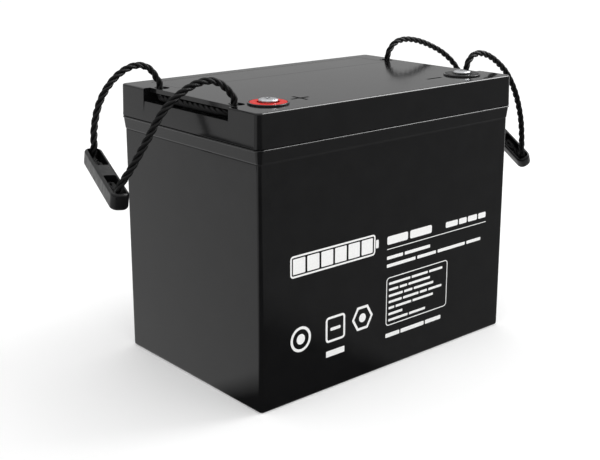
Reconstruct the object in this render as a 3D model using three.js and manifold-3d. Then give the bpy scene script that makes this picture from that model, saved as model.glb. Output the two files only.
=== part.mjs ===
// A sealed 12 V deep cycle battery: a six-cell jar, its lid, two screw terminals and two rope handles.
// Millimetres, +Z up. The origin is the middle of the jar's underside. X runs along the long side, with
// the positive terminal at -X, and the long face with the printed panel looks towards -Y.

import * as THREE from 'three';
import { mergeVertices } from 'three/addons/utils/BufferGeometryUtils.js';
import Module from 'manifold-3d';

const wasm = await Module();
wasm.setup();

// Driving dimensions
const HALF_X = 129.5;          // half the length over the lid's lip
const HALF_Y = 84;             // half the width over the lid's lip
const CORNER = 5;              // radius of the vertical corners
const LID_Z = 187;             // underside of the lid
const TOP_Z = 211;             // top of the lid
const GAP = 0.3;               // clearance between pieces that touch

const JAR_INSET = 2;           // how far the jar's walls stand inside the lip
const BAND_Z = 177;            // underside of the thicker rim band
const WALL = 3.3;
const FLOOR = 4;
const PARTITION = 2;
const CELLS = 6;

const TERMINAL_X = 99;
const TERMINAL_Y = -57;
const VALVE_Y = 54;            // middle line of the valve channel
const LUG_Y = 57;              // the plate lugs stand this far from the middle, front and rear
const STRAP_Z = 158;           // underside of the cast straps
const STRAP_TOP = 164;
const LINK_Z = 172;            // the intercell links pass through the partitions here

const ROPE_R = 2.6;
const ROPE_SIDES = 8;
const HOLE_X = 116.8;          // middle of a rope hole
const ROPE_Y = 45;
const PIVOT_X = 118.6;         // each handle swings about a line through its two rope exits
const PIVOT_Z = 214.2;
const RECESS_Y = 51.5;         // half length of the rope recess in the lid's end
const RECESS_X = 111.2;        // inner wall of the recess
const RECESS_FLOOR = 201.5;
const RECESS_ROOF = 207.8;
const BRIDGE_X = 123.2;        // outer edge of the plate over the recess
const RUN_Z = 204.6;           // centre height of the rope inside the recess
const RUN_BOW = 4;             // how far its middle bows out towards the recess mouth

const GRIP_LENGTH = 88;
const GRIP_WIDTH = 12.5;
const GRIP_HEIGHT = 11.5;

// Derived dimensions
const JAR_X = HALF_X - JAR_INSET;
const JAR_Y = HALF_Y - JAR_INSET;
const INNER_X = JAR_X - WALL;
const INNER_Y = JAR_Y - WALL;
const JAR_TOP = LID_Z - GAP;
const CELL_WIDTH = (2 * INNER_X - (CELLS - 1) * PARTITION) / CELLS;
const PITCH = CELL_WIDTH + PARTITION;
const cellX = (i) => (i - (CELLS - 1) / 2) * PITCH;
const valveX = (i) => THREE.MathUtils.clamp(cellX(i), -98, 98);

const finish = (color, roughness, metalness = 0) =>
  new THREE.MeshStandardMaterial({ color, roughness, metalness });
const look = {
  abs: finish(0x1c1c1d, 0.35),
  grip: finish(0x1a1a1b, 0.5),
  rope: finish(0x121213, 0.85),
  rubber: finish(0x161616, 0.9),
  red: finish(0xc41a12, 0.45),
  steel: finish(0xc9cbce, 0.28, 1),
  brass: finish(0xb89a55, 0.35, 1),
  lead: finish(0x6f7276, 0.6, 1),
  positivePlate: finish(0x4a3128, 0.9),
  negativePlate: finish(0x7d8083, 0.85),
  glassMat: finish(0xe6e4dc, 0.95),
  sealant: finish(0x26262b, 0.6),
};

const model = new THREE.Group();

// Turns a closed geometry into a solid that can be joined and cut.
function solid(geometry) {
  const bare = geometry.index ? geometry.toNonIndexed() : geometry.clone();
  bare.deleteAttribute('normal');
  bare.deleteAttribute('uv');
  const merged = mergeVertices(bare, 1e-4);
  const vertProperties = new Float32Array(merged.attributes.position.array);
  const triVerts = new Uint32Array(merged.index.array);
  return new wasm.Manifold(new wasm.Mesh({ numProp: 3, vertProperties, triVerts }));
}

function geometryOf(manifold) {
  const mesh = manifold.getMesh();
  const geometry = new THREE.BufferGeometry();
  geometry.setAttribute('position', new THREE.BufferAttribute(new Float32Array(mesh.vertProperties), 3));
  geometry.setIndex(new THREE.BufferAttribute(new Uint32Array(mesh.triVerts), 1));
  geometry.computeVertexNormals();
  return geometry;
}

function part(name, shape, material, parent = model) {
  const geometry = shape.isBufferGeometry ? shape : geometryOf(shape);
  const mesh = new THREE.Mesh(geometry, material);
  mesh.name = name;
  parent.add(mesh);
  return mesh;
}

const unite = (pieces) => pieces.slice(1).reduce((whole, piece) => whole.add(piece), pieces[0]);

function box(x0, x1, y0, y1, z0, z1) {
  const geometry = new THREE.BoxGeometry(x1 - x0, y1 - y0, z1 - z0);
  geometry.translate((x0 + x1) / 2, (y0 + y1) / 2, (z0 + z1) / 2);
  return solid(geometry);
}

// A turned piece standing on the Z axis at (x, y), from a closed outline of [radius, height] points.
function turned(x, y, outline, sides = 16) {
  const points = outline.map(([r, z]) => new THREE.Vector2(r, z));
  const geometry = new THREE.LatheGeometry(points, sides);
  geometry.rotateX(Math.PI / 2);
  geometry.translate(x, y, 0);
  return solid(geometry);
}

const disc = (x, y, r, z0, z1, sides) => turned(x, y, [[0, z0], [r, z0], [r, z1], [0, z1]], sides);

const washer = (x, y, inner, outer, z0, z1, sides) =>
  turned(x, y, [[inner, z0], [outer, z0], [outer, z1], [inner, z1], [inner, z0]], sides);

function roundedRectangle(halfX, halfY, radius) {
  const shape = new THREE.Shape();
  shape.absarc(halfX - radius, halfY - radius, radius, 0, Math.PI / 2);
  shape.absarc(radius - halfX, halfY - radius, radius, Math.PI / 2, Math.PI);
  shape.absarc(radius - halfX, radius - halfY, radius, Math.PI, 1.5 * Math.PI);
  shape.absarc(halfX - radius, radius - halfY, radius, 1.5 * Math.PI, 2 * Math.PI);
  return shape;
}

// A block with rounded corners whose walls step in: rings lists [height, inset] from the bottom up.
function steppedBlock(halfX, halfY, radius, rings, curveSegments = 4) {
  const steps = rings.length - 1;
  const options = { depth: steps, steps, bevelEnabled: false, curveSegments };
  const geometry = new THREE.ExtrudeGeometry(roundedRectangle(halfX, halfY, radius), options);
  const position = geometry.attributes.position;
  for (let i = 0; i < position.count; i++) {
    const [height, inset] = rings[Math.round(position.getZ(i))];
    const x = position.getX(i);
    const y = position.getY(i);
    position.setXYZ(i, x - Math.sign(x) * inset, y - Math.sign(y) * inset, height);
  }
  return solid(geometry);
}

const block = (halfX, halfY, radius, z0, z1, curveSegments = 2) =>
  steppedBlock(halfX, halfY, radius, [[z0, 0], [z1, 0]], curveSegments);

// The open jar: six cells side by side, with a round hole in each partition for its intercell link.
const linkSide = (i) => (i % 2 === 0 ? 1 : -1);
const partitionX = (i) => (cellX(i) + cellX(i + 1)) / 2;

function alongX(x, y, z, radius, length, sides) {
  const geometry = new THREE.CylinderGeometry(radius, radius, length, sides);
  geometry.rotateZ(Math.PI / 2);
  geometry.translate(x, y, z);
  return solid(geometry);
}

function jar() {
  const rings = [
    [0, JAR_INSET + 0.8], [0.8, JAR_INSET], [BAND_Z, JAR_INSET], [BAND_Z + 0.5, 1.6], [JAR_TOP - 0.7, 0.4],
    [JAR_TOP, 1],
  ];
  let body = steppedBlock(HALF_X, HALF_Y, CORNER, rings);
  for (let i = 0; i < CELLS; i++) {
    const half = CELL_WIDTH / 2;
    body = body.subtract(box(cellX(i) - half, cellX(i) + half, -INNER_Y, INNER_Y, FLOOR, LID_Z));
  }
  for (let i = 0; i < CELLS - 1; i++) {
    body = body.subtract(alongX(partitionX(i), linkSide(i) * LUG_Y, LINK_Z, 6.6, 2 * PARTITION, 16));
  }
  return body;
}

// The lid: a ribbed shell with terminal wells, a valve channel and a rope recess at each end.
const WELL_R = 13.3;
const WELL_FLOOR = 209.3;
const RIM_R = 14.5;
const RIM_Z = 212.2;
const BUSH_R = 7.5;
const BUSH_FLANGE_R = 9.5;
const BUSH_Z = 195.5;
const BUSH_TOP = 209.3;
const SEAT_Z = 203;            // the step in the lid that the O-ring seals against
const CHANNEL_X = 108.9;
const CHANNEL_HALF = 17.9;     // half width of the opening that the cover strip closes
const LEDGE_Z = 208.1;
const CHANNEL_FLOOR = 202;
const LEDGE = 3.4;
const SHALLOW_Z = 198;         // roof of the lid's shallow hollow
const DEEP_Z = 207.3;          // roof of its deep hollow, in front of the valve channel
const LID_WALL = 3.5;
const BEAD_X = 127.4;
const BEAD_Y = 81.9;

function ropeHole(side, end) {
  const geometry = new THREE.CylinderGeometry(1, 1, 8, 16);
  geometry.rotateX(Math.PI / 2);
  geometry.scale(5.3, 6.1, 1);
  geometry.translate(side * HOLE_X, end * ROPE_Y, TOP_Z);
  return solid(geometry);
}

function endRecess(side) {
  const span = (near, far) => [Math.min(side * near, side * far), Math.max(side * near, side * far)];
  const under = box(...span(RECESS_X, 140), -RECESS_Y, RECESS_Y, RECESS_FLOOR, RECESS_ROOF);
  const notch = box(...span(BRIDGE_X, 140), -RECESS_Y, RECESS_Y, RECESS_FLOOR, TOP_Z + 5);
  const step = box(...span(HALF_X - 0.75, 140), -RECESS_Y, RECESS_Y, 190.6, RECESS_FLOOR + 1);
  return unite([under, notch, step, ropeHole(side, -1), ropeHole(side, 1)]);
}

function lidShell() {
  const rings = [[LID_Z, 0], [LID_Z + 3, 0.05], [TOP_Z - 1, 0.75], [TOP_Z, 1.75]];
  const innerX = HALF_X - LID_WALL;
  const innerY = HALF_Y - LID_WALL;
  let shell = steppedBlock(HALF_X, HALF_Y, CORNER, rings);
  shell = shell.subtract(block(innerX, innerY, 2, LID_Z - 2, SHALLOW_Z));
  shell = shell.subtract(box(-104.5, 104.5, -innerY, 33, SHALLOW_Z - 1, DEEP_Z));
  for (let i = 0; i < CELLS - 1; i++) {
    const x = partitionX(i);
    const x0 = x - PARTITION / 2;
    const x1 = x + PARTITION / 2;
    shell = shell.add(box(x0, x1, -innerY - 0.5, innerY + 0.5, LID_Z, SHALLOW_Z + 1));
    shell = shell.add(box(x0, x1, -innerY - 0.5, 34, LID_Z, DEEP_Z + 1));
  }
  return shell;
}

function terminalWell(shell, x) {
  shell = shell.add(disc(x, TERMINAL_Y, 12.5, 194, TOP_Z - 1, 20));
  shell = shell.add(disc(x, TERMINAL_Y, RIM_R, TOP_Z - 1, RIM_Z, 28));
  shell = shell.subtract(disc(x, TERMINAL_Y, WELL_R, WELL_FLOOR, TOP_Z + 5, 28));
  shell = shell.subtract(disc(x, TERMINAL_Y, BUSH_R + GAP, 190, TOP_Z, 20));
  return shell.subtract(disc(x, TERMINAL_Y, BUSH_FLANGE_R + GAP, 190, SEAT_Z, 20));
}

const MARK_X = 69;
const MARK_Y = -55;
const MARK_HALF = 8;           // half length of each bar of a polarity mark
const MARK_T = 1.3;            // half its width
const MARK_DEPTH = 0.5;

function polarityMark(x, isPlus) {
  const sunk = (halfX, halfY) =>
    box(x - halfX, x + halfX, MARK_Y - halfY, MARK_Y + halfY, TOP_Z - MARK_DEPTH, TOP_Z + 1);
  const bar = sunk(MARK_HALF, MARK_T);
  return isPlus ? bar.add(sunk(MARK_T, MARK_HALF)) : bar;
}

function lid() {
  let shell = lidShell();
  shell = terminalWell(shell, -TERMINAL_X);
  shell = terminalWell(shell, TERMINAL_X);
  const y0 = VALVE_Y - CHANNEL_HALF;
  const y1 = VALVE_Y + CHANNEL_HALF;
  shell = shell.subtract(box(-CHANNEL_X, CHANNEL_X, y0, y1, LEDGE_Z, TOP_Z + 1));
  const inner = CHANNEL_X - LEDGE;
  shell = shell.subtract(box(-inner, inner, y0 + LEDGE, y1 - LEDGE, CHANNEL_FLOOR, TOP_Z));
  for (let i = 0; i < CELLS; i++) {
    shell = shell.add(disc(valveX(i), VALVE_Y, 4.5, CHANNEL_FLOOR - 1, 205.2, 12));
    shell = shell.subtract(disc(valveX(i), VALVE_Y, 1.6, SHALLOW_Z - 3, TOP_Z, 8));
  }
  shell = shell.subtract(endRecess(-1)).subtract(endRecess(1));
  shell = shell.subtract(polarityMark(-MARK_X, true)).subtract(polarityMark(MARK_X, false));
  const groove = block(BEAD_X + 0.7, BEAD_Y + 0.7, 3.6, LID_Z - 1, LID_Z + 2)
    .subtract(block(BEAD_X - 0.7, BEAD_Y - 0.7, 2.2, LID_Z - 2, LID_Z + 3));
  return shell.subtract(groove);
}

function sealantBead() {
  return block(BEAD_X + 0.45, BEAD_Y + 0.45, 3.3, LID_Z, LID_Z + 1.7)
    .subtract(block(BEAD_X - 0.45, BEAD_Y - 0.45, 2.4, LID_Z - 1, LID_Z + 3));
}

function coverStrip() {
  const rings = [[LEDGE_Z + GAP, 0], [TOP_Z - 0.4, 0], [TOP_Z, 0.35]];
  return steppedBlock(CHANNEL_X - GAP, CHANNEL_HALF - GAP, 0.8, rings, 2).translate([0, VALVE_Y, 0]);
}

const valveCap = (i) =>
  turned(valveX(i), VALVE_Y, [[0, 205.5], [4.8, 205.5], [4.8, 202.3], [6.2, 202.3], [6.2, 207], [0, 207]], 12);

part('battery_jar', jar(), look.abs);
part('lid', lid(), look.abs);
part('lid_sealant_bead', sealantBead(), look.sealant);
part('valve_cover_strip', coverStrip(), look.abs);
for (let i = 0; i < CELLS; i++) {
  part(`relief_valve_cap_${i + 1}`, valveCap(i), look.rubber);
}

// The plates of one cell stand across X: negative, mat, positive, mat and so on, with a gap between.
const POSITIVE_T = 3.4;
const NEGATIVE_T = 2.4;
const MAT_T = 1;
const POSITIVES = 4;
const PLATE_Y = 74;
const PLATE_Z = 7.5;
const PLATE_TOP = 150;
const MAT_TOP = 153;
const MAT_BASE = 5;
const LUG_HALF = 7;
const STACK_PITCH = POSITIVE_T + NEGATIVE_T + 2 * MAT_T + 4 * GAP;

const plateX = (k) => (k - POSITIVES / 2) * STACK_PITCH;
const positiveX = (k) => plateX(k) + STACK_PITCH / 2;

// Plates of one polarity, hung from their cast strap by lugs, in the middle of a cell.
function plateGroup(centres, thickness, side) {
  const pieces = [];
  for (const x of centres) {
    const half = thickness / 2;
    pieces.push(box(x - half, x + half, -PLATE_Y, PLATE_Y, PLATE_Z, PLATE_TOP));
    const lugY = side * LUG_Y;
    pieces.push(box(x - half, x + half, lugY - LUG_HALF, lugY + LUG_HALF, PLATE_TOP - 1, STRAP_Z + 1));
  }
  pieces.push(box(-17.6, 17.6, side * LUG_Y - 8, side * LUG_Y + 8, STRAP_Z, STRAP_TOP));
  return unite(pieces);
}

// The glass mats fold round the plates, so they are one comb that is closed underneath.
function matComb() {
  const shape = new THREE.Shape();
  const edges = [];
  for (let k = 0; k < POSITIVES; k++) {
    const x = positiveX(k);
    const reach = POSITIVE_T / 2 + GAP;
    edges.push([x - reach - MAT_T, x - reach], [x + reach, x + reach + MAT_T]);
  }
  const first = edges[0][0];
  const last = edges[edges.length - 1][1];
  shape.moveTo(first, MAT_BASE);
  shape.lineTo(last, MAT_BASE);
  edges.reverse().forEach(([x0, x1], n) => {
    shape.lineTo(x1, MAT_TOP);
    shape.lineTo(x0, MAT_TOP);
    if (n < edges.length - 1) {
      shape.lineTo(x0, MAT_BASE + 2);
      shape.lineTo(edges[n + 1][1], MAT_BASE + 2);
    }
  });
  shape.closePath();
  const geometry = new THREE.ExtrudeGeometry(shape, { depth: 2 * PLATE_Y + 4, bevelEnabled: false });
  geometry.translate(0, 0, -PLATE_Y - 2);
  geometry.rotateX(Math.PI / 2);
  return geometry;
}

const positiveCentres = Array.from({ length: POSITIVES }, (_, k) => positiveX(k));
const negativeCentres = Array.from({ length: POSITIVES + 1 }, (_, k) => plateX(k));
for (let i = 0; i < CELLS; i++) {
  const positiveSide = i % 2 === 0 ? -1 : 1;
  const cell = new THREE.Group();
  cell.position.x = cellX(i);
  model.add(cell);
  const positive = plateGroup(positiveCentres, POSITIVE_T, positiveSide);
  const negative = plateGroup(negativeCentres, NEGATIVE_T, -positiveSide);
  part(`positive_plates_${i + 1}`, positive, look.positivePlate, cell);
  part(`negative_plates_${i + 1}`, negative, look.negativePlate, cell);
  part(`glass_mat_separator_${i + 1}`, matComb(), look.glassMat, cell);
}

// A link stands on one cell's strap, passes through the partition and stands on the next cell's strap.
function intercellLink(i) {
  const x = partitionX(i);
  const y = linkSide(i) * LUG_Y;
  const near = PARTITION / 2 + GAP;
  return unite([
    alongX(x, y, LINK_Z, 6.2, 2 * near + 2, 16),
    box(x - near - 4, x - near, y - 8, y + 8, STRAP_TOP + GAP, 180),
    box(x + near, x + near + 4, y - 8, y + 8, STRAP_TOP + GAP, 180),
  ]);
}

for (let i = 0; i < CELLS - 1; i++) {
  part(`intercell_link_${i + 1}`, intercellLink(i), look.lead);
}

// One terminal, from the bottom up: post, O-ring, threaded bush, coloured seal, washers and bolt.
const THREAD_R = 3;            // M6
const WASHER_Z = BUSH_TOP + GAP;
const SPRING_Z = WASHER_Z + 1 + GAP;
const HEAD_Z = SPRING_Z + 1.2 + GAP;
const SEAL_TOP = 212.35;

function terminalBush(x) {
  const outline = [
    [0, BUSH_Z], [BUSH_FLANGE_R, BUSH_Z], [BUSH_FLANGE_R, BUSH_Z + 4], [BUSH_R, BUSH_Z + 4], [BUSH_R, BUSH_TOP],
    [THREAD_R + GAP, BUSH_TOP], [THREAD_R + GAP, 198], [0, 198],
  ];
  return turned(x, TERMINAL_Y, outline, 20);
}

// A cast resin ring that stands just above the rim of its well.
function terminalSeal(x) {
  const inner = BUSH_R + GAP;
  const outer = WELL_R - GAP;
  const base = WELL_FLOOR + GAP;
  const shoulder = SEAL_TOP - 0.25;
  const outline = [
    [inner, base], [outer, base], [outer, shoulder], [outer - 0.6, SEAL_TOP], [inner, SEAL_TOP], [inner, base],
  ];
  return turned(x, TERMINAL_Y, outline, 24);
}

function oRing(x) {
  const outline = [];
  for (let k = 0; k <= 6; k++) {
    const turn = (k / 6) * 2 * Math.PI;
    outline.push([8.65 + 0.8 * Math.cos(turn), SEAT_Z - 1.8 + 0.8 * Math.sin(turn)]);
  }
  return turned(x, TERMINAL_Y, outline, 16);
}

const flatWasher = (x) => washer(x, TERMINAL_Y, THREAD_R + GAP, 6.9, WASHER_Z, WASHER_Z + 1, 16);

// A split ring with a one-millimetre cut.
function springWasher(x) {
  const ring = washer(x, TERMINAL_Y, THREAD_R + GAP, 5.3, SPRING_Z, SPRING_Z + 1.2, 16);
  return ring.subtract(box(x + 2, x + 7, TERMINAL_Y - 0.5, TERMINAL_Y + 0.5, SPRING_Z - 1, SPRING_Z + 2));
}

// A flanged pan-head bolt with a cross recess.
function terminalBolt(x) {
  const outline = [
    [0, 199], [THREAD_R, 199], [THREAD_R, HEAD_Z], [6.9, HEAD_Z], [6.9, HEAD_Z + 1.2], [6.2, HEAD_Z + 1.8],
    [4.2, HEAD_Z + 2.3], [0, HEAD_Z + 2.3],
  ];
  const slot = (halfX, halfY) =>
    box(x - halfX, x + halfX, TERMINAL_Y - halfY, TERMINAL_Y + halfY, HEAD_Z + 0.9, HEAD_Z + 4);
  return turned(x, TERMINAL_Y, outline, 20).subtract(slot(3, 0.6)).subtract(slot(0.6, 3));
}

for (const [x, name, colour] of [[-TERMINAL_X, 'positive', look.red], [TERMINAL_X, 'negative', look.rubber]]) {
  part(`terminal_post_${name}`, disc(x, TERMINAL_Y, 5.5, STRAP_TOP + GAP, BUSH_Z - GAP, 16), look.lead);
  part(`terminal_o_ring_${name}`, oRing(x), look.rubber);
  part(`terminal_bush_${name}`, terminalBush(x), look.brass);
  part(`terminal_seal_${name}`, terminalSeal(x), colour);
  part(`flat_washer_${name}`, flatWasher(x), look.steel);
  part(`spring_washer_${name}`, springWasher(x), look.steel);
  part(`terminal_bolt_${name}`, terminalBolt(x), look.steel);
}

// Rope handles. A grip's own frame: Y along its length, Z out of its windows, the origin in its middle.
const POCKET_HALF = 4.3;
const POCKET_START = 9.5;
const POCKET_END = 41.6;
const KNOT_Y = 18.5;

function grip() {
  const halfX = GRIP_WIDTH / 2;
  const halfY = GRIP_LENGTH / 2;
  const halfZ = GRIP_HEIGHT / 2;
  const rings = [[-halfZ, 1.5], [1.5 - halfZ, 0], [halfZ - 1, 0], [halfZ, 1]];
  let body = steppedBlock(halfX, halfY, 5.2, rings, 4);
  for (const end of [-1, 1]) {
    const y0 = Math.min(end * POCKET_START, end * POCKET_END);
    const y1 = Math.max(end * POCKET_START, end * POCKET_END);
    body = body.subtract(box(-POCKET_HALF, POCKET_HALF, y0, y1, 2.2 - halfZ, halfZ + 1));
  }
  return body;
}

function knot(end) {
  const geometry = new THREE.SphereGeometry(1, 10, 6);
  geometry.scale(3.9, 7.4, 3.4);
  geometry.translate(0, end * KNOT_Y, -0.1);
  return solid(geometry);
}

const vector = ([x, y, z]) => new THREE.Vector3(x, y, z);

// A plain tube along a smooth curve through the points.
function ropeTube(points, steps) {
  const section = new THREE.Shape();
  for (let k = 0; k < ROPE_SIDES; k++) {
    const turn = (k / ROPE_SIDES) * 2 * Math.PI;
    const [x, y] = [ROPE_R * Math.cos(turn), ROPE_R * Math.sin(turn)];
    if (k === 0) section.moveTo(x, y);
    else section.lineTo(x, y);
  }
  section.closePath();
  const extrudePath = new THREE.CatmullRomCurve3(points.map(vector));
  return solid(new THREE.ExtrudeGeometry(section, { steps, extrudePath, bevelEnabled: false }));
}

// Each rope lies in its recess and comes up through a hole at each end.
function ropeRun(side) {
  const half = [
    [0, -ROPE_Y, 211.4], [0, -ROPE_Y, 209.2], [0.3, -43.9, 206.4], [1.2, -41.2, RUN_Z + 0.1],
    [3, -36, RUN_Z], [RUN_BOW, -18, RUN_Z],
  ];
  const points = half.map(([bow, y, z]) => [side * (PIVOT_X + bow), y, z]);
  const back = points.map(([x, y, z]) => [x, -y, z]).reverse();
  return ropeTube([...points, [side * (PIVOT_X + RUN_BOW), 0, RUN_Z], ...back], 18);
}

// Each leg starts with a round end on the pivot line and finishes inside its grip.
const handles = [
  {
    name: 'left',
    side: -1,
    middle: [-190.5, 5, 162.3],
    turn: { z: -18, x: 8.7, y: 4.5 },
    legs: {
      front: [
        [-121, -45, 218], [-125, -45, 222.4], [-130.4, -44.6, 226.4], [-137, -44, 228.6], [-145, -43, 228.2],
        [-153.8, -42, 225.2], [-162, -41, 220.4], [-173, -39.5, 210.4], [-184.4, -37, 192.4], [-193.5, -35, 178],
      ],
      rear: [
        [-121.2, 45, 218.4], [-124.6, 45, 223.6], [-129.8, 45, 227.6], [-137, 45, 229.4], [-146, 45, 227.8],
        [-155.4, 45, 222.7], [-163, 44.8, 215.7], [-169.2, 44.4, 207], [-173.6, 43.6, 197], [-176.6, 42, 187],
      ],
    },
  },
  {
    name: 'right',
    side: 1,
    middle: [212.5, -6, 141],
    turn: { z: -10, x: 27.6, y: -33 },
    legs: {
      front: [
        [121, -45, 218.6], [125.6, -45, 222.6], [134, -45, 224], [147.4, -44.8, 220.4], [161, -44.5, 212.6],
        [172, -44.2, 203.6], [182.2, -43.8, 191.2], [191, -43.3, 175.4], [197, -42.8, 158.6], [199.8, -42.4, 143],
      ],
      rear: [
        [121, 45, 219], [127.4, 45, 224.8], [138.4, 45, 227], [154, 45, 225.2], [171.6, 44.5, 219.6],
        [188.4, 43, 211.4], [201, 40.5, 201], [208.4, 36.5, 188.4], [211.8, 31, 176.4],
      ],
    },
  },
];

function handle({ name, side, middle, turn, legs }) {
  const pose = new THREE.Group();
  pose.position.set(...middle);
  const radians = THREE.MathUtils.degToRad;
  pose.rotation.set(radians(turn.x), radians(turn.y), radians(turn.z), 'ZXY');
  pose.updateMatrixWorld();
  model.add(pose);
  part(`${name}_grip`, grip(), look.grip, pose);
  for (const [where, end] of [['front', -1], ['rear', 1]]) {
    const pivot = [side * PIVOT_X, end * ROPE_Y, PIVOT_Z];
    const inside = [[0, end * 38.4, 9], [0, end * 38.3, 4.5], [0, end * 38.2, 0]]
      .map((local) => pose.localToWorld(vector(local)).toArray());
    const tube = ropeTube([pivot, ...legs[where], ...inside], 14);
    const root = new THREE.SphereGeometry(ROPE_R, 8, 6).translate(...pivot);
    part(`${name}_rope_leg_${where}`, tube.add(solid(root)), look.rope);
    part(`${name}_knot_${where}`, knot(end), look.rope, pose);
  }
  part(`${name}_rope_run`, ropeRun(side), look.rope);
}

handles.forEach(handle);

export default model;
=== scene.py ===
"""A sealed deep cycle battery with two rope handles, on a pale studio floor.

The pieces are built in millimetres in the frame of the CAD model, and scaled to metres when
they are finished.
"""

import math

import bmesh
import bpy
import numpy as np
from mathutils import Matrix, Vector

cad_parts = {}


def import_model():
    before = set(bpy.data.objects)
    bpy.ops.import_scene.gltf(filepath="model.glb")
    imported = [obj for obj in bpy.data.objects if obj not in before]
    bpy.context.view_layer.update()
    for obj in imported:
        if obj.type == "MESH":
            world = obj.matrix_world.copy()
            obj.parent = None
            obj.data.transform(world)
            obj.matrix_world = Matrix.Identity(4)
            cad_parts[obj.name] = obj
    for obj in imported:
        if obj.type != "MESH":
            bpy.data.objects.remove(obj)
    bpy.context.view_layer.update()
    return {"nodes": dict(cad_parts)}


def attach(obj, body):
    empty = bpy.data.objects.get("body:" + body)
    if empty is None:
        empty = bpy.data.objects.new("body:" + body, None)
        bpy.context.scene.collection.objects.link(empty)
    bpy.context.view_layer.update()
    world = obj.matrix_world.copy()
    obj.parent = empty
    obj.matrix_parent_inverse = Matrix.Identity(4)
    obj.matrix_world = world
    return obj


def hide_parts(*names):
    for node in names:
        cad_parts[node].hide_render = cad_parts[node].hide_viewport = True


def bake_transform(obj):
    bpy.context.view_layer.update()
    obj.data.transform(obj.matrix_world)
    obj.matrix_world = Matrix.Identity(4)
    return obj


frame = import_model()

MM = 0.001

# The battery, in millimetres, as the CAD model has it
HALF_X = 129.5
HALF_Y = 84
CORNER = 5
LID_Z = 187
TOP_Z = 211
JAR_INSET = 2
BAND_Z = 177
GAP = 0.3
TERMINAL_X = 99
TERMINAL_Y = -57
VALVE_Y = 54
HOLE_X = 116.8
ROPE_Y = 45
PIVOT_X = 118.6
PIVOT_Z = 214.2
RECESS_Y = 51.5
RECESS_X = 111.2
RECESS_FLOOR = 201.5
RECESS_ROOF = 207.8
BRIDGE_X = 123.2
RUN_Z = 204.6
RUN_BOW = 4
JAR_WALL = 3.3
JAR_FLOOR = 4
CELLS = 6
CELL_WALL = 2
MARK_X = 69
MARK_Y = -55

# ---------------------------------------------------------------- camera

CAMERA_AZIMUTH = -40.78
CAMERA_ELEVATION = 14.23
CAMERA_DISTANCE = 820.7
CAMERA_TARGET = (-21.5, 0, 133.8)
FOCAL_WIDTHS = 1052.75 / 600  # focal length in picture widths
SHIFT_WIDTHS = -50 / 600  # vertical shift in picture widths
SENSOR = 36


def make_camera():
    data = bpy.data.cameras.new("camera")
    camera = bpy.data.objects.new("camera", data)
    bpy.context.collection.objects.link(camera)
    azimuth, elevation = math.radians(CAMERA_AZIMUTH), math.radians(CAMERA_ELEVATION)
    back = Vector(
        (
            math.sin(azimuth) * math.cos(elevation),
            -math.cos(azimuth) * math.cos(elevation),
            math.sin(elevation),
        )
    )
    camera.location = (Vector(CAMERA_TARGET) + back * CAMERA_DISTANCE) * MM
    camera.rotation_mode = "QUATERNION"
    camera.rotation_quaternion = (-back).to_track_quat("-Z", "Y")
    data.sensor_width = SENSOR
    data.lens = SENSOR * FOCAL_WIDTHS
    data.shift_y = SHIFT_WIDTHS
    bpy.context.scene.camera = camera


make_camera()

# ---------------------------------------------------------------- materials

# The part of a noise texture's range that its values mostly fall in
NOISE_LOW = 0.3
NOISE_HIGH = 0.7


def material(name, color, roughness, metallic=0.0):
    made = bpy.data.materials.new(name)
    made.use_nodes = True
    shader = made.node_tree.nodes["Principled BSDF"]
    shader.inputs["Base Color"].default_value = (*color, 1)
    shader.inputs["Roughness"].default_value = roughness
    shader.inputs["Metallic"].default_value = metallic
    made["shader"] = shader.name
    return made


def node(made, kind, **inputs):
    new = made.node_tree.nodes.new(kind)
    for key, value in inputs.items():
        new.inputs[key.replace("_", " ")].default_value = value
    return new


def link(made, source, output, target, entry):
    made.node_tree.links.new(source.outputs[output], target.inputs[entry])


def shader_of(made):
    return made.node_tree.nodes[made["shader"]]


def surface_point(made):
    """The shaded point in its piece's own frame, in metres."""
    place = node(made, "ShaderNodeTexCoord")
    mapping = node(made, "ShaderNodeMapping")
    link(made, place, "Object", mapping, "Vector")
    return mapping


def noise(made, point, scale, detail=3.0, roughness=0.55):
    new = node(made, "ShaderNodeTexNoise", Scale=scale, Detail=detail, Roughness=roughness)
    link(made, point, "Vector", new, "Vector")
    return new


def add_bump(made, height, distance, strength):
    """Another layer of relief, distance metres deep."""
    bump = node(made, "ShaderNodeBump", Strength=strength, Distance=distance)
    link(made, height, 0, bump, "Height")
    shader = shader_of(made)
    before = shader.inputs["Normal"].links
    if before:
        made.node_tree.links.new(before[0].from_socket, bump.inputs["Normal"])
    link(made, bump, "Normal", shader, "Normal")


def vary(made, source, entry, low, high):
    """The shader's entry runs from low to high with the texture."""
    spread = node(made, "ShaderNodeMapRange")
    spread.inputs["From Min"].default_value = NOISE_LOW
    spread.inputs["From Max"].default_value = NOISE_HIGH
    spread.inputs["To Min"].default_value = low
    spread.inputs["To Max"].default_value = high
    link(made, source, 0, spread, "Value")
    link(made, spread, "Result", shader_of(made), entry)


def vary_color(made, source, low, high, start=NOISE_LOW, end=NOISE_HIGH):
    """The shader's base colour runs from low to high with the texture."""
    ramp = node(made, "ShaderNodeValToRGB")
    ramp.color_ramp.elements[0].position = start
    ramp.color_ramp.elements[0].color = (*low, 1)
    ramp.color_ramp.elements[1].position = end
    ramp.color_ramp.elements[1].color = (*high, 1)
    link(made, source, 0, ramp, "Fac")
    link(made, ramp, "Color", shader_of(made), "Base Color")


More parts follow.
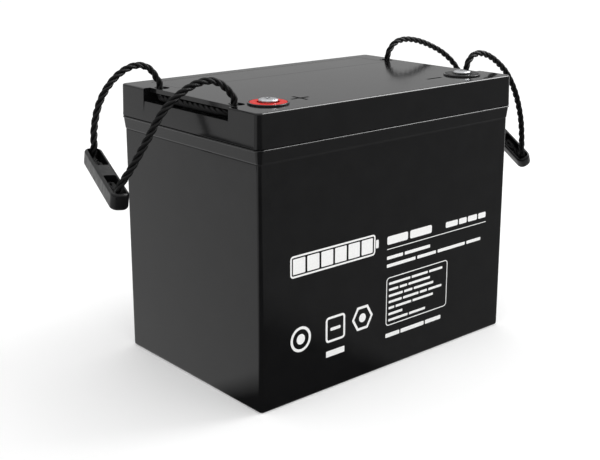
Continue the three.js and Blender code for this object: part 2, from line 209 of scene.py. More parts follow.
def abs_plastic():
    """Polished black plastic with a faint grain and a few dull patches."""
    made = material("black_abs", (0.0065, 0.0065, 0.0068), 0.12)
    shader_of(made).inputs["Specular IOR Level"].default_value = 0.3
    point = surface_point(made)
    vary_color(made, noise(made, point, 60), (0.0055, 0.0055, 0.0058), (0.0075, 0.0075, 0.0078))
    vary(made, noise(made, point, 18, 4), "Roughness", 0.09, 0.16)
    add_bump(made, noise(made, point, 1400, 2), 0.000004, 0.3)
    return made


def grip_plastic():
    made = material("grip_plastic", (0.006, 0.006, 0.0065), 0.3)
    shader_of(made).inputs["Specular IOR Level"].default_value = 0.22
    point = surface_point(made)
    vary_color(made, noise(made, point, 120), (0.004, 0.004, 0.0045), (0.008, 0.008, 0.0085))
    vary(made, noise(made, point, 200, 4), "Roughness", 0.26, 0.42)
    add_bump(made, noise(made, point, 1500, 3), 0.00004, 0.5)
    return made


def rope_fibre():
    """Shiny black yarn: fine filaments run along each strand."""
    made = material("rope_fibre", (0.004, 0.004, 0.0042), 0.42)
    shader_of(made).inputs["Specular IOR Level"].default_value = 0.15
    place = node(made, "ShaderNodeTexCoord")
    filament = node(made, "ShaderNodeMapping")
    filament.inputs["Scale"].default_value = (0.25, 26, 1)
    link(made, place, "UV", filament, "Vector")
    threads = noise(made, filament, 1.0, 3)
    vary_color(made, threads, (0.0015, 0.0015, 0.0016), (0.011, 0.011, 0.0115), 0.4, 0.68)
    vary(made, threads, "Roughness", 0.32, 0.6)
    add_bump(made, threads, 0.00025, 0.8)
    add_bump(made, noise(made, surface_point(made), 2600, 4), 0.00012, 0.6)
    return made


def rubber():
    made = material("black_rubber", (0.012, 0.012, 0.012), 0.6)
    point = surface_point(made)
    vary_color(made, noise(made, point, 300), (0.009, 0.009, 0.009), (0.016, 0.016, 0.016))
    add_bump(made, noise(made, point, 2500, 3), 0.00002, 0.5)
    return made


def resin(name, low, high, roughness):
    made = material(name, high, roughness)
    shader_of(made).inputs["Specular IOR Level"].default_value = 0.06
    point = surface_point(made)
    vary_color(made, noise(made, point, 220, 3), low, high)
    vary(made, noise(made, point, 400, 3), "Roughness", roughness - 0.06, roughness + 0.1)
    add_bump(made, noise(made, point, 350, 2), 0.00003, 0.5)
    return made


def steel():
    made = material("bright_steel", (0.5, 0.505, 0.52), 0.26, 1.0)
    point = surface_point(made)
    vary_color(made, noise(made, point, 350), (0.42, 0.43, 0.45), (0.58, 0.585, 0.6))
    vary(made, noise(made, point, 900, 4), "Roughness", 0.2, 0.36)
    add_bump(made, noise(made, point, 2200, 3), 0.00001, 0.5)
    return made


def metal(name, low, high, roughness):
    made = material(name, high, roughness, 1.0)
    point = surface_point(made)
    vary_color(made, noise(made, point, 260, 4), low, high)
    vary(made, noise(made, point, 500, 3), "Roughness", roughness - 0.1, roughness + 0.12)
    add_bump(made, noise(made, point, 900, 4), 0.0001, 0.5)
    return made


def paste(name, low, high):
    made = material(name, high, 0.85)
    point = surface_point(made)
    vary_color(made, noise(made, point, 700, 5), low, high)
    add_bump(made, noise(made, point, 1500, 5), 0.0002, 0.7)
    return made


def ink():
    made = material("white_ink", (0.93, 0.93, 0.92), 0.45)
    point = surface_point(made)
    vary_color(made, noise(made, point, 900, 3), (0.86, 0.86, 0.85), (0.96, 0.96, 0.95))
    add_bump(made, noise(made, point, 2600, 3), 0.00001, 0.5)
    return made


BLACK_ABS = abs_plastic()
GRIP = grip_plastic()
ROPE = rope_fibre()
RUBBER = rubber()
SEAL_RED = resin("red_resin", (0.6, 0.006, 0.002), (0.74, 0.012, 0.004), 0.3)
SEAL_BLACK = resin("black_resin", (0.01, 0.01, 0.0105), (0.018, 0.018, 0.019), 0.25)
STEEL = steel()
BRASS = metal("tinned_brass", (0.45, 0.34, 0.16), (0.6, 0.48, 0.24), 0.35)
LEAD = metal("cast_lead", (0.13, 0.135, 0.145), (0.24, 0.245, 0.26), 0.6)
POSITIVE_PLATE = paste("lead_dioxide_paste", (0.06, 0.028, 0.018), (0.12, 0.06, 0.04))
NEGATIVE_PLATE = paste("sponge_lead_paste", (0.18, 0.185, 0.19), (0.28, 0.285, 0.3))
GLASS_MAT = paste("glass_mat", (0.7, 0.69, 0.66), (0.85, 0.84, 0.81))
SEALANT = resin("epoxy_bead", (0.02, 0.02, 0.024), (0.04, 0.04, 0.046), 0.4)
INK = ink()

# ---------------------------------------------------------------- mesh tools


def new_object(name, mesh):
    made = bpy.data.objects.new(name, mesh)
    bpy.context.collection.objects.link(made)
    return made


def mesh_from(name, points, faces):
    mesh = bpy.data.meshes.new(name)
    mesh.from_pydata([tuple(p) for p in points], [], faces)
    mesh.validate()
    mesh.update()
    return mesh


def loft(name, rings):
    """A closed mesh through rings of equally many points, each anticlockwise seen from above."""
    count = len(rings[0])
    points = [p for ring in rings for p in ring]
    faces = []
    for k in range(len(rings) - 1):
        for i in range(count):
            j = (i + 1) % count
            low, high = k * count, (k + 1) * count
            faces.append((low + i, low + j, high + j, high + i))
    faces.append(tuple(range(count - 1, -1, -1)))
    top = (len(rings) - 1) * count
    faces.append(tuple(range(top, top + count)))
    return mesh_from(name, points, faces)


def rounded_outline(half_x, half_y, radius, segments):
    """A rectangle with round corners, anticlockwise."""
    points = []
    for quarter, (sx, sy) in enumerate([(1, 1), (-1, 1), (-1, -1), (1, -1)]):
        for k in range(segments + 1):
            turn = math.radians(90 * quarter + 90 * k / segments)
            x = sx * (half_x - radius) + radius * math.cos(turn)
            points.append((x, sy * (half_y - radius) + radius * math.sin(turn)))
    return points


def stepped_block(name, half_x, half_y, radius, rings, segments=10, middle=(0, 0)):
    """A block with rounded corners whose walls step in.
    The rings are (height, inset) from the bottom up."""
    outlines = []
    for z, inset in rings:
        corner = max(radius - inset, 0.05)
        outline = rounded_outline(half_x - inset, half_y - inset, corner, segments)
        outlines.append([(x + middle[0], y + middle[1], z) for x, y in outline])
    return new_object(name, loft(name, outlines))


def box(name, x0, x1, y0, y1, z0, z1):
    corners = [(x0, y0), (x1, y0), (x1, y1), (x0, y1)]
    return new_object(name, loft(name, [[(x, y, z) for x, y in corners] for z in (z0, z1)]))


def ring_points(x, y, radius, z, sides):
    turns = [2 * math.pi * k / sides for k in range(sides)]
    return [(x + radius * math.cos(t), y + radius * math.sin(t), z) for t in turns]


def turned(name, x, y, outline, sides=64):
    """A turned piece about a vertical line through (x, y), from (radius, height) points that go
    up its outside. A closed outline, whose last point is its first, makes a ring."""
    closed = outline[0] == outline[-1]
    rows = [ring_points(x, y, max(r, 0.01), z, sides) for r, z in outline]
    if closed:
        rows = rows[:-1]
        points = [p for row in rows for p in row]
        faces = []
        for k in range(len(rows)):
            for i in range(sides):
                j = (i + 1) % sides
                low, high = k * sides, ((k + 1) % len(rows)) * sides
                faces.append((low + i, low + j, high + j, high + i))
        return new_object(name, mesh_from(name, points, faces))
    return new_object(name, loft(name, rows))


def apply_modifiers(obj):
    bpy.context.view_layer.update()
    evaluated = obj.evaluated_get(bpy.context.evaluated_depsgraph_get())
    mesh = bpy.data.meshes.new_from_object(evaluated)
    obj.modifiers.clear()
    old = obj.data
    obj.data = mesh
    bpy.data.meshes.remove(old)


def combine(target, tools, operation):
    """Joins the tools to the target or cuts them from it, and removes the tools."""
    for tool in tools:
        modifier = target.modifiers.new("join", "BOOLEAN")
        modifier.operation = operation
        modifier.solver = "EXACT"
        modifier.object = tool
        apply_modifiers(target)
        bpy.data.objects.remove(tool)


def cut(target, *tools):
    combine(target, tools, "DIFFERENCE")


def join(target, *tools):
    combine(target, tools, "UNION")


def clean(obj):
    """Merges double points and dissolves the flat faces' inner edges."""
    double = 0.002
    flat = math.radians(0.4)
    b = bmesh.new()
    b.from_mesh(obj.data)
    bmesh.ops.remove_doubles(b, verts=b.verts, dist=double)
    bmesh.ops.dissolve_degenerate(b, edges=b.edges, dist=double)
    bmesh.ops.dissolve_limit(b, angle_limit=flat, verts=b.verts, edges=b.edges)
    b.to_mesh(obj.data)
    b.free()


def bevel(obj, width, segments=2, angle=32):
    """Rounds the sharp edges, in millimetres."""
    modifier = obj.modifiers.new("round", "BEVEL")
    modifier.width = width
    modifier.segments = segments
    modifier.limit_method = "ANGLE"
    modifier.angle_limit = math.radians(angle)
    modifier.miter_outer = "MITER_ARC"
    apply_modifiers(obj)


def turn_about(x, y, degrees):
    """A turn about the vertical line through (x, y)."""
    spin = Matrix.Translation((x, y, 0)) @ Matrix.Rotation(math.radians(degrees), 4, "Z")
    return spin @ Matrix.Translation((-x, -y, 0))


def finished(obj, look, body="root", nodes=(), sharp=40, weighted=True):
    """Scales a piece to metres, gives it its look, and puts it on its body in place of the CAD
    nodes it replaces. Edges sharper than that many degrees stay sharp."""
    obj.data.transform(Matrix.Scale(MM, 4))
    obj.data.materials.clear()
    obj.data.materials.append(look)
    obj.data.shade_smooth()
    obj.data.set_sharp_from_angle(angle=math.radians(sharp))
    if weighted:
        modifier = obj.modifiers.new("normals", "WEIGHTED_NORMAL")
        modifier.keep_sharp = True
    if body:
        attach(obj, body)
    if nodes:
        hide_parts(*nodes)


# ---------------------------------------------------------------- ropes

# Each handle as it lies at rest: its grip's middle and turn, and its legs from hole to grip
HANDLES = {
    "left": {
        "side": -1,
        "middle": (-190.5, 5, 162.3),
        "turn": (8.7, 4.5, -18),
        "front": [
            (-121, -45, 218), (-125, -45, 222.4), (-130.4, -44.6, 226.4), (-137, -44, 228.6),
            (-145, -43, 228.2), (-153.8, -42, 225.2), (-162, -41, 220.4), (-173, -39.5, 210.4),
            (-184.4, -37, 192.4), (-193.5, -35, 178),
        ],
        "rear": [
            (-121.2, 45, 218.4), (-124.6, 45, 223.6), (-129.8, 45, 227.6), (-137, 45, 229.4),
            (-146, 45, 227.8), (-155.4, 45, 222.7), (-163, 44.8, 215.7), (-169.2, 44.4, 207),
            (-173.6, 43.6, 197), (-176.6, 42, 187),
        ],
    },
    "right": {
        "side": 1,
        "middle": (212.5, -6, 141),
        "turn": (27.6, -33, -10),
        "front": [
            (121, -45, 218.6), (125.6, -45, 222.6), (134, -45, 224), (147.4, -44.8, 220.4),
            (161, -44.5, 212.6), (172, -44.2, 203.6), (182.2, -43.8, 191.2), (191, -43.3, 175.4),
            (197, -42.8, 158.6), (199.8, -42.4, 143),
        ],
        "rear": [
            (121, 45, 219), (127.4, 45, 224.8), (138.4, 45, 227), (154, 45, 225.2),
            (171.6, 44.5, 219.6), (188.4, 43, 211.4), (201, 40.5, 201), (208.4, 36.5, 188.4),
            (211.8, 31, 176.4),
        ],
    },
}

STRAND_R = 1.23
STRAND_OFFSET = 1.37
LAY = 19.0  # along the rope, for one turn of its three strands
YARN_LAY = 9.0  # along a strand, for its yarns to turn by one yarn
YARNS = 6
YARN_DEPTH = 0.07  # how far the yarns stand out, as a part of the strand's radius


def grip_matrix(handle):
    """The grip's own frame: Y along its length, Z out of its pockets."""
    x, y, z = (math.radians(a) for a in handle["turn"])
    spin = Matrix.Rotation(z, 4, "Z") @ Matrix.Rotation(x, 4, "X") @ Matrix.Rotation(y, 4, "Y")
    return Matrix.Translation(handle["middle"]) @ spin


def lengths_along(line):
    steps = np.linalg.norm(np.diff(line, axis=0), axis=1)
    return np.concatenate([[0], np.cumsum(steps)])


def tangents_of(line):
    tangents = np.gradient(line, axis=0)
    return tangents / np.linalg.norm(tangents, axis=1)[:, None]


def smooth_line(points, step):
    """Points about step apart along a centripetal Catmull-Rom curve through the points."""
    p = np.array(points, float)
    p = np.vstack([2 * p[0] - p[1], p, 2 * p[-1] - p[-2]])
    fine = []
    for i in range(1, len(p) - 2):
        knots = [0.0]
        for k in range(3):
            knots.append(knots[-1] + np.linalg.norm(p[i + k] - p[i + k - 1]) ** 0.5)
        t0, t1, t2, t3 = knots
        for t in np.linspace(t1, t2, 24, endpoint=False):
            a1 = (t1 - t) / (t1 - t0) * p[i - 1] + (t - t0) / (t1 - t0) * p[i]
            a2 = (t2 - t) / (t2 - t1) * p[i] + (t - t1) / (t2 - t1) * p[i + 1]
            a3 = (t3 - t) / (t3 - t2) * p[i + 1] + (t - t2) / (t3 - t2) * p[i + 2]
            b1 = (t2 - t) / (t2 - t0) * a1 + (t - t0) / (t2 - t0) * a2
            b2 = (t3 - t) / (t3 - t1) * a2 + (t - t1) / (t3 - t1) * a3
            fine.append((t2 - t) / (t2 - t1) * b1 + (t - t1) / (t2 - t1) * b2)
    fine = np.array([*fine, p[-2]])
    along = lengths_along(fine)
    at = np.linspace(0, along[-1], max(2, round(along[-1] / step) + 1))
    return np.stack([np.interp(at, along, fine[:, k]) for k in range(3)], axis=1)


def carried_frames(line):
    """Two crosswise directions at each point, carried along without twist."""
    tangents = tangents_of(line)
    first = np.cross(tangents[0], (0.0, 1.0, 0.0))
    if np.linalg.norm(first) < 0.2:
        first = np.cross(tangents[0], (1.0, 0.0, 0.0))
    across = [first / np.linalg.norm(first)]
    for t in tangents[1:]:
        v = across[-1] - t * (across[-1] @ t)
        across.append(v / np.linalg.norm(v))
    across = np.array(across)
    return across, np.cross(tangents, across)


def lobed_tube(line, outward, radius, twist, sides):
    """Rings round a strand: its yarns show as lobes that turn along it."""
    tangents = tangents_of(line)
    out = outward - tangents * (outward * tangents).sum(1)[:, None]
    out /= np.linalg.norm(out, axis=1)[:, None]
    across = np.cross(tangents, out)
    rings = []
    for p, u, v, s in zip(line, out, across, lengths_along(line)):
        ring = []
        for k in range(sides):
            turn = 2 * math.pi * k / sides
            lobe = YARN_DEPTH * math.cos(YARNS * turn + 2 * math.pi * s / twist)
            r = radius * (1 + lobe)
            ring.append(p + r * (math.cos(turn) * u + math.sin(turn) * v))
        rings.append(ring)
    return rings


def strand_loft(name, line, outward, radius, twist, sides):
    """A strand whose UVs run along it by its rings and once round it, for its filaments."""
    mesh = loft(name, lobed_tube(line, outward, radius, twist, sides))
    layer = mesh.uv_layers.new(name="along")
    for face in mesh.polygons:
        columns = [mesh.loops[i].vertex_index % sides for i in face.loop_indices]
        wraps = max(columns) - min(columns) > sides / 2
        for i, column in zip(face.loop_indices, columns):
            row = mesh.loops[i].vertex_index // sides
            turn = (column + sides if wraps and column < sides / 2 else column) / sides
            layer.data[i].uv = (row, turn + row / twist)
    return mesh


def join_meshes(name, meshes):
    b = bmesh.new()
    for mesh in meshes:
        b.from_mesh(mesh)
        bpy.data.meshes.remove(mesh)
    bmesh.ops.recalc_face_normals(b, faces=b.faces)
    whole = bpy.data.meshes.new(name)
    b.to_mesh(whole)
    b.free()
    return whole


def laid_rope_meshes(name, line, lay=LAY, phase=0.0, sides=18):
    """Three strands laid round the line."""
    across, other = carried_frames(line)
    along = lengths_along(line)
    meshes = []
    for k in range(3):
        turn = 2 * math.pi * (along / lay + k / 3) + phase
        outward = np.cos(turn)[:, None] * across + np.sin(turn)[:, None] * other
        middle = line + STRAND_OFFSET * outward
        strand = strand_loft(f"{name}_strand", middle, outward, STRAND_R, YARN_LAY, sides)
        meshes.append(strand)
    return meshes


def inside_grip(handle, end):
    """The leg's last points, which lead down into the grip's pocket."""
    place = grip_matrix(handle)
    return [tuple(place @ Vector((0, end * y, z))) for y, z in ((38.4, 9), (38.3, 4.5), (38.2, 0))]


def rope_leg(name, where, end):
    """The free stretch of rope from its hole in the lid to the inside of its grip."""
    handle = HANDLES[name]
    side = handle["side"]
    foot = [(side * PIVOT_X, end * ROPE_Y, z) for z in (208.4, 211.4, PIVOT_Z)]
    line = smooth_line([*foot, *handle[where], *inside_grip(handle, end)], 1.0)
    piece = f"{name}_rope_{where}"
    leg = new_object(piece, join_meshes(piece, laid_rope_meshes(piece, line)))
    finished(leg, ROPE, body=None, sharp=80, weighted=False)
    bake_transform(leg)
    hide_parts(f"{name}_rope_leg_{where}")


def rope_run(name):
    """The stretch of the same rope that lies in the lid's end recess, between its two holes."""
    side = HANDLES[name]["side"]
    half = [
        (0, -ROPE_Y, 208.2), (0.3, -44.3, 206.5), (1.2, -41.8, RUN_Z + 0.1), (3, -36, RUN_Z),
        (RUN_BOW, -18, RUN_Z),
    ]
    points = [(side * (PIVOT_X + bow), y, z) for bow, y, z in half]
    mirrored = [(x, -y, z) for x, y, z in reversed(points)]
    points += [(side * (PIVOT_X + RUN_BOW), 0, RUN_Z), *mirrored]
    piece = f"{name}_rope_in_recess"
    line = smooth_line(points, 1.0)
    run = new_object(piece, join_meshes(piece, laid_rope_meshes(piece, line, phase=1.0)))
    finished(run, ROPE, nodes=[f"{name}_rope_run"], sharp=80, weighted=False)


for handle_name in HANDLES:
    rope_leg(handle_name, "front", -1)
    rope_leg(handle_name, "rear", 1)
    rope_run(handle_name)

# ---------------------------------------------------------------- jar


def jar():
    """The jar with its six cell pockets. Its wall has a fine groove and a rim band above it."""
    rings = [
        (0, JAR_INSET + 1.6), (0.25, JAR_INSET + 0.9), (0.8, JAR_INSET + 0.3), (1.6, JAR_INSET),
        (BAND_Z - 1.1, JAR_INSET), (BAND_Z - 0.9, 2.03), (BAND_Z - 0.5, 2.16),
        (BAND_Z - 0.25, 2.16), (BAND_Z + 0.1, 1.75), (BAND_Z + 0.6, 1.58),
        (LID_Z - 1.9, 0.62), (LID_Z - 1.6, 0.3), (LID_Z - 1.3, 0.04), (LID_Z - 1.0, 0.04),
        (LID_Z - 0.78, 0.12), (LID_Z - 0.55, 0.32), (LID_Z - 0.42, 0.6), (LID_Z - GAP, 1.0),
    ]
    shell = stepped_block("jar_shell", HALF_X, HALF_Y, CORNER, rings, 12)
    inner_x, inner_y = HALF_X - JAR_INSET - JAR_WALL, HALF_Y - JAR_INSET - JAR_WALL
    width = (2 * inner_x - (CELLS - 1) * CELL_WALL) / CELLS
    pockets = []
    for i in range(CELLS):
        x = (i - (CELLS - 1) / 2) * (width + CELL_WALL)
        x0, x1 = x - width / 2, x + width / 2
        pockets.append(box("pocket", x0, x1, -inner_y, inner_y, JAR_FLOOR, LID_Z + 2))
    cut(shell, *pockets)
    clean(shell)
    finished(shell, BLACK_ABS, nodes=["battery_jar"], sharp=50)


# ---------------------------------------------------------------- lid


def lid_outer():
    rings = [
        (LID_Z, 0.5), (LID_Z + 0.12, 0.22), (LID_Z + 0.4, 0.06), (LID_Z + 3.4, 0.26),
        (TOP_Z - 1.3, 0.75), (TOP_Z - 0.85, 0.84), (TOP_Z - 0.45, 1.08), (TOP_Z - 0.15, 1.5),
        (TOP_Z, 2.05),
    ]
    return stepped_block("lid_shell", HALF_X, HALF_Y, CORNER, rings, 12)


def rope_hole(side, end):
    """An oval tool that cuts a rope's hole, a little wider at the lid's top."""
    points = []
    for z, grow in ((206, 0), (TOP_Z - 0.7, 0), (TOP_Z + 0.3, 0.9), (TOP_Z + 3, 0.9)):
        row = []
        for k in range(48):
            turn = 2 * math.pi * k / 48
            row.append(
                (
                    side * HOLE_X + (5.0 + grow * 0.4) * math.cos(turn),
                    end * ROPE_Y + (5.9 + grow) * math.sin(turn),
                    z,
                )
            )
        points.append(row)
    return new_object("hole", loft("hole", points))


def end_recess(side):
    """The tools that cut the rope's recess, the notch outside it and the panel below it."""

    def slab(name, near, far, half_y, z0, z1):
        x0, x1 = sorted((side * near, side * far))
        return box(name, x0, x1, -half_y, half_y, z0, z1)

    panel_foot, panel_head, outside = 190.2, RECESS_FLOOR + 1, 142
    step = [
        (HALF_X - 0.1, panel_foot), (outside, panel_foot),
        (outside, panel_head), (HALF_X - 1.1, panel_head),
    ]
    outline = [(side * x, z) for x, z in (step if side < 0 else reversed(step))]
    rows = [[(x, y, z) for x, z in outline] for y in (-RECESS_Y, RECESS_Y)]
    return [
        slab("under", RECESS_X, 140, RECESS_Y, RECESS_FLOOR, RECESS_ROOF),
        slab("notch", BRIDGE_X, 141, RECESS_Y, RECESS_FLOOR, TOP_Z + 5),
        new_object("step", join_meshes("step", [loft("step", rows)])),
    ]


def polarity_mark(x, plus):
    """The tools that cut a plus or a minus into the lid."""
    half_long, half_wide, depth = 8, 1.3, 0.5
    bars = [(half_long, half_wide)] + ([(half_wide, half_long)] if plus else [])
    return [
        box("mark", x - hx, x + hx, MARK_Y - hy, MARK_Y + hy, TOP_Z - depth, TOP_Z + 1)
        for hx, hy in bars
    ]


def lid():
    shell = lid_outer()
    well_tools = []
    for x in (-TERMINAL_X, TERMINAL_X):
        rim = [
            (0, TOP_Z - 2), (14.5, TOP_Z - 2), (14.5, 211.8), (14.38, 212.05), (14.1, 212.2),
            (13.4, 212.2), (0, 212.2),
        ]
        join(shell, turned("rim", x, TERMINAL_Y, rim, 96))
        well = [(0, 209.3), (13.3, 209.3), (13.3, 216), (0, 216)]
        well_tools.append(turned("well", x, TERMINAL_Y, well, 96))
        bore = [(0, 180), (7.8, 180), (7.8, 212), (0, 212)]
        well_tools.append(turned("bore", x, TERMINAL_Y, bore, 64))
    strip = box("strip_pocket", -108.9, 108.9, VALVE_Y - 17.9, VALVE_Y + 17.9, 208.1, TOP_Z + 1)
    channel = box("channel", -105.5, 105.5, VALVE_Y - 14.5, VALVE_Y + 14.5, 202, TOP_Z)
    hollow = box("hollow", -126, 126, -80.5, 80.5, LID_Z - 1, 198)
    marks = polarity_mark(-MARK_X, True) + polarity_mark(MARK_X, False)
    holes = [rope_hole(side, end) for side in (-1, 1) for end in (-1, 1)]
    cut(shell, hollow, strip, channel, *well_tools, *end_recess(-1), *end_recess(1), *holes, *marks)
    clean(shell)
    bevel(shell, 0.22, 2, 40)
    finished(shell, BLACK_ABS, nodes=["lid"], sharp=60)


def cover_strip():
    rings = [(208.4, 0), (TOP_Z - 0.4, 0), (TOP_Z - 0.12, 0.1), (TOP_Z, 0.35)]
    strip = stepped_block("valve_cover", 108.6, 17.6, 1.0, rings, 6, middle=(0, VALVE_Y))
    finished(strip, BLACK_ABS, nodes=["valve_cover_strip"], sharp=50)


jar()
lid()
cover_strip()

# ---------------------------------------------------------------- terminals

WASHER_Z = 209.6
SPRING_Z = 210.9
HEAD_Z = 212.4
SPLIT_TURN = -70  # the spring washer's gap, in degrees
CROSS_TURN = 25  # the bolt's cross slot, in degrees


def terminal_seal(name, x, look):
    outline = [
        (7.8, 209.6), (13, 209.6), (13.05, 211.9), (12.95, 212.15), (12.6, 212.32),
        (11.5, 212.35), (8.3, 212.35), (7.95, 212.25), (7.8, 212), (7.8, 209.6),
    ]
    seal = turned(f"{name}_seal", x, TERMINAL_Y, outline, 96)
    finished(seal, look, nodes=[f"terminal_seal_{name}"], sharp=60)


def washers(name, x):
    outline = [(3.3, 0), (6.7, 0), (6.9, 0.2), (6.9, 0.8), (6.7, 1), (3.5, 1), (3.3, 0.8), (3.3, 0)]
    flat = turned(
        f"{name}_flat_washer", x, TERMINAL_Y, [(r, WASHER_Z + up) for r, up in outline], 96
    )
    finished(flat, STEEL, f"washers_{name}", [f"flat_washer_{name}"])
    outline = [
        (3.3, 0), (5.2, 0), (5.3, 0.12), (5.3, 1.08), (5.2, 1.2), (3.4, 1.2), (3.3, 1.1), (3.3, 0),
    ]
    spring = turned(
        f"{name}_spring_washer", x, TERMINAL_Y, [(r, SPRING_Z + up) for r, up in outline], 72
    )
    half_gap = 0.45
    gap = box(
        "split", x + 2, x + 7, TERMINAL_Y - half_gap, TERMINAL_Y + half_gap,
        SPRING_Z - 1, SPRING_Z + 2,
    )
    gap.data.transform(turn_about(x, TERMINAL_Y, SPLIT_TURN))
    cut(spring, gap)
    finished(spring, STEEL, f"washers_{name}", [f"spring_washer_{name}"])


def bolt(name, x):
    shank = [(0, 199), (2.5, 199), (3, 199.6)]
    head = [
        (3, 0), (6.6, 0), (6.82, 0.12), (6.9, 0.35), (6.9, 1), (6.8, 1.3), (6.5, 1.6), (5.9, 1.86),
        (5, 2.08), (3.8, 2.22), (2.4, 2.28), (0, 2.3),
    ]
    outline = shank + [(r, HEAD_Z + up) for r, up in head]
    piece = turned(f"{name}_bolt", x, TERMINAL_Y, outline, 96)
    half_long, half_wide = 3.1, 0.62
    for hx, hy in ((half_long, half_wide), (half_wide, half_long)):
        slot = box(
            "slot", x - hx, x + hx, TERMINAL_Y - hy, TERMINAL_Y + hy, HEAD_Z + 0.9, HEAD_Z + 4
        )
        slot.data.transform(turn_about(x, TERMINAL_Y, CROSS_TURN))
        cut(piece, slot)
    clean(piece)
    bevel(piece, 0.12, 2, 50)
    finished(piece, STEEL, f"bolt_{name}", [f"terminal_bolt_{name}"], sharp=50)


for terminal, at, seal_look, seal_slot in (
    ("positive", -TERMINAL_X, SEAL_RED, "seal_red"),
    ("negative", TERMINAL_X, SEAL_BLACK, "seal_black"),
):
    terminal_seal(terminal, at, seal_look)
    washers(terminal, at)
    bolt(terminal, at)

# ---------------------------------------------------------------- grips and knots


def grip(name):
    """The moulded grip: a round-ended bar with an open pocket for a knot at each end."""
    handle = HANDLES[name]
    half_z = 5.75
    rings = [
        (-half_z, 2.0), (-half_z + 0.25, 1.2), (-half_z + 0.9, 0.4), (-half_z + 1.9, 0),
        (half_z - 1.9, 0), (half_z - 1.3, 0.08), (half_z - 0.7, 0.36), (half_z - 0.25, 0.82),
        (half_z, 1.5),
    ]
    body = stepped_block(f"{name}_handle_grip", 6.25, 44, 5.4, rings, 10)
    for end in (-1, 1):
        y0, y1 = sorted((end * 9.5, end * 41.6))
        half_y, middle = (y1 - y0) / 2, (0, (y0 + y1) / 2)
        cut(body, stepped_block("pocket", 4.3, half_y, 1.6, [(-3.55, 0), (8, 0)], 6, middle))
    clean(body)
    bevel(body, 0.3, 3, 45)
    body.data.transform(grip_matrix(handle))
    finished(body, GRIP, f"handle_{name}", [f"{name}_grip"], sharp=60)


KNOT_Y = 18.5
KNOT_STRAND_R = 1.25
KNOT_YARN_LAY = 5.0


def knot_line(half_x, half_z, half_y):
    """A closed woven path round a spindle."""
    leads, bights, samples = 2, 5, 220
    points = []
    for k in range(samples):
        t = 2 * math.pi * k / samples
        s = math.sin(bights * t)
        girth = math.sqrt(max(0.1, 1 - (0.86 * s) ** 2))
        weave = 1 + 0.14 * math.cos(2 * bights * t + 0.6)
        points.append(
            (
                half_x * girth * weave * math.cos(leads * t),
                half_y * s,
                half_z * girth * weave * math.sin(leads * t),
            )
        )
    return np.array([*points, points[0]])


def knot(name, where, end):
    """The rope's end knotted inside the grip's pocket, with the bend that leads to it."""
    piece = f"{name}_end_knot_{where}"
    line = knot_line(2.5, 2.1, 6.0)
    outward = line * np.array([1, 0.15, 1])
    outward /= np.linalg.norm(outward, axis=1)[:, None]
    meshes = [strand_loft(piece, line, outward, KNOT_STRAND_R, KNOT_YARN_LAY, 14)]
    core = bmesh.new()
    bmesh.ops.create_uvsphere(core, u_segments=20, v_segments=12, radius=1)
    bmesh.ops.scale(core, vec=(2.4, 6.2, 2.0), verts=core.verts)
    core_mesh = bpy.data.meshes.new("core")
    core.to_mesh(core_mesh)
    core.free()
    meshes.append(core_mesh)
    for mesh in meshes:
        mesh.transform(Matrix.Translation((0, end * KNOT_Y, -0.1)))
    inside = ((38.2, 1.2), (37.7, -0.1), (35.6, -0.6), (31, -0.4), (KNOT_Y + 5, -0.2))
    elbow = smooth_line([(0, end * y, z) for y, z in inside], 0.8)
    meshes += laid_rope_meshes(piece, elbow, lay=16, sides=12)
    lump = new_object(piece, join_meshes(piece, meshes))
    lump.data.transform(grip_matrix(HANDLES[name]))
    node_name = f"{name}_knot_{where}"
    finished(lump, ROPE, f"handle_{name}", [node_name], sharp=80, weighted=False)


for handle_name in HANDLES:
    grip(handle_name)
    knot(handle_name, "front", -1)
    knot(handle_name, "rear", 1)

# ---------------------------------------------------------------- inner pieces keep their CAD shape

INNER_LOOKS = {
    "relief_valve_cap": RUBBER,
    "terminal_o_ring": RUBBER,
    "positive_plates": POSITIVE_PLATE,
    "negative_plates": NEGATIVE_PLATE,
    "glass_mat": GLASS_MAT,
    "intercell_link": LEAD,
    "terminal_post": LEAD,
    "terminal_bush": BRASS,
    "lid_sealant": SEALANT,
}
for node_name, cad_piece in frame["nodes"].items():
    for start, look in INNER_LOOKS.items():
        if node_name.startswith(start):
            cad_piece.data.materials.clear()
            cad_piece.data.materials.append(look)

# ---------------------------------------------------------------- printed front

FACE_Y = -82.0
INK_T = 0.07
INK_LIFT = 0.01
BAR_CORNER = 0.22  # a word bar's corner, as a part of its height


def ink_mesh(outline, holes=()):
    """A thin layer of ink on the front face, from an outline in (x, z)."""
    b = bmesh.new()
    edges = []
    for loop in [outline, *holes]:
        verts = [b.verts.new((x, 0, z)) for x, z in loop]
        edges += [b.edges.new((verts[i], verts[(i + 1) % len(verts)])) for i in range(len(verts))]
    bmesh.ops.triangle_fill(b, use_beauty=True, use_dissolve=False, edges=edges)
    faces = list(b.faces)
    made = bmesh.ops.extrude_face_region(b, geom=faces)
    raised = [v for v in made["geom"] if isinstance(v, bmesh.types.BMVert)]
    bmesh.ops.translate(b, vec=(0, -INK_T, 0), verts=raised)
    bmesh.ops.recalc_face_normals(b, faces=b.faces)
    bmesh.ops.translate(b, vec=(0, FACE_Y - INK_LIFT, 0), verts=b.verts)
    mesh = bpy.data.meshes.new("ink")
    b.to_mesh(mesh)
    b.free()
    return mesh


def round_bar(x0, x1, z0, z1, radius):
    mx, mz = (x0 + x1) / 2, (z0 + z1) / 2
    outline = rounded_outline((x1 - x0) / 2, (z1 - z0) / 2, radius, 5)
    return [(mx + x, mz + z) for x, z in outline]


def frame_bar(x0, x1, z0, z1, radius, line):
    inner = round_bar(x0 + line, x1 - line, z0 + line, z1 - line, max(radius - line, 0.1))
    return ink_mesh(round_bar(x0, x1, z0, z1, radius), [inner])


